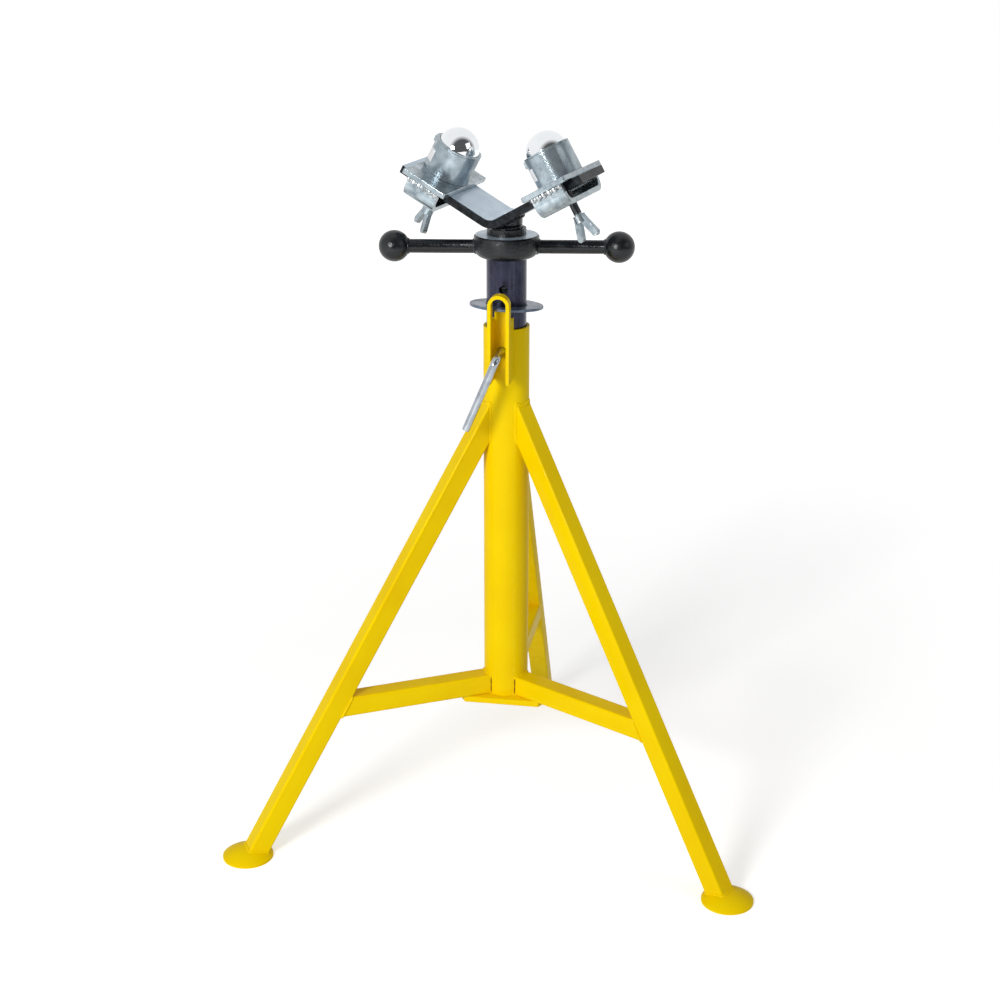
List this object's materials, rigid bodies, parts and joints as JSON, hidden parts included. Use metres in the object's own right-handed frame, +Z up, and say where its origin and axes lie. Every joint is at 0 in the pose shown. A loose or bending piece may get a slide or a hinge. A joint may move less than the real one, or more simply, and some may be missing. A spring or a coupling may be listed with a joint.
{
  "type": "pipe stand",
  "caption": "Pipe stand with welded tripod legs, pinned telescoping mast, screw jack with handled nut, and a V saddle carrying two clamped ball transfer units.",
  "frame": {"origin": "on the tube's axis at floor level", "axes": "+Z up along the tube, the lock pin faces -Y, the rear leg points +Y"},
  "size_m": [0.668, 0.587, 0.8957],
  "materials": {
    "yellow_paint": "gloss",
    "dark_steel": "satin",
    "black_iron": "satin",
    "zinc_plate": "satin",
    "chrome_steel": "polished",
    "hard_steel": "satin"
  },
  "bodies": {
    "stand": {"outer_tube": "yellow_paint", "base_plate": "yellow_paint", "pin_guard": "yellow_paint", "leg_left": "yellow_paint", "leg_right": "yellow_paint", "leg_rear": "yellow_paint", "brace_left": "yellow_paint", "brace_right": "yellow_paint", "brace_rear": "yellow_paint", "foot_left": "yellow_paint", "foot_right": "yellow_paint", "foot_rear": "yellow_paint"},
    "mast": {"mast_tube": "dark_steel"},
    "ring": {"guard_ring": "dark_steel"},
    "pin": {"lock_pin": "chrome_steel"},
    "nut": {"jack_nut": "black_iron"},
    "head": {"jack_screw": "black_iron", "v_saddle": "black_iron"},
    "clamp_right": {"clamp_channel_right": "zinc_plate", "clamp_plate_right": "zinc_plate", "ball_housing_right": "zinc_plate", "bearing_cup_right": "hard_steel", "support_balls_right": "hard_steel", "retaining_ring_right": "zinc_plate"},
    "ball_right": {"transfer_ball_right": "chrome_steel"},
    "wing_right": {"wing_screw_right": "zinc_plate"},
    "clamp_left": {"clamp_channel_left": "zinc_plate", "clamp_plate_left": "zinc_plate", "ball_housing_left": "zinc_plate", "bearing_cup_left": "hard_steel", "support_balls_left": "hard_steel", "retaining_ring_left": "zinc_plate"},
    "ball_left": {"transfer_ball_left": "chrome_steel"},
    "wing_left": {"wing_screw_left": "zinc_plate"}
  },
  "joints": [
    {"name": "mast_slide", "type": "slide", "parent": "stand", "child": "mast", "axis": [0, 0, 1], "range_m": [0, 0.36]},
    {"name": "ring_lift", "type": "slide", "parent": "stand", "child": "ring", "axis": [0, 0, 1], "range_m": [0, 0.045]},
    {"name": "pin_pull", "type": "slide", "parent": "stand", "child": "pin", "axis": [0, -1, 0], "range_m": [-0.0065, 0.03]},
    {"name": "nut_turn", "type": "hinge", "parent": "mast", "child": "nut", "pos_m": [0, 0, 0.757], "axis": [0, 0, 1], "range_deg": [0, 5040]},
    {"name": "head_lift", "type": "slide", "parent": "mast", "child": "head", "axis": [0, 0, 1], "range_m": [0, 0.0889]},
    {"name": "clamp_slide_right", "type": "slide", "parent": "head", "child": "clamp_right", "axis": [0.8486, -0.1897, 0.4939], "range_m": [-0.015, 0.015]},
    {"name": "ball_roll_right", "type": "hinge", "parent": "clamp_right", "child": "ball_right", "pos_m": [0.04942, -0.01105, 0.87032], "axis": [0.2181, 0.9759, 0], "continuous": true},
    {"name": "wing_turn_right", "type": "hinge", "parent": "clamp_right", "child": "wing_right", "pos_m": [0.08774, -0.01961, 0.80119], "axis": [-0.482, 0.1078, 0.8695], "range_deg": [-360, 360]},
    {"name": "clamp_slide_left", "type": "slide", "parent": "head", "child": "clamp_left", "axis": [-0.8601, 0.1923, 0.4726], "range_m": [-0.015, 0.015]},
    {"name": "ball_roll_left", "type": "hinge", "parent": "clamp_left", "child": "ball_left", "pos_m": [-0.06026, 0.01347, 0.86798], "axis": [-0.2181, -0.9759, 0], "continuous": true},
    {"name": "wing_turn_left", "type": "hinge", "parent": "clamp_left", "child": "wing_left", "pos_m": [-0.09692, 0.02166, 0.79791], "axis": [0.4612, -0.1031, 0.8813], "range_deg": [-360, 360]}
  ],
  "couplings": [
    {"joint": "head_lift", "follows": "nut_turn", "m_per_rad": 0.0010106}
  ]
}
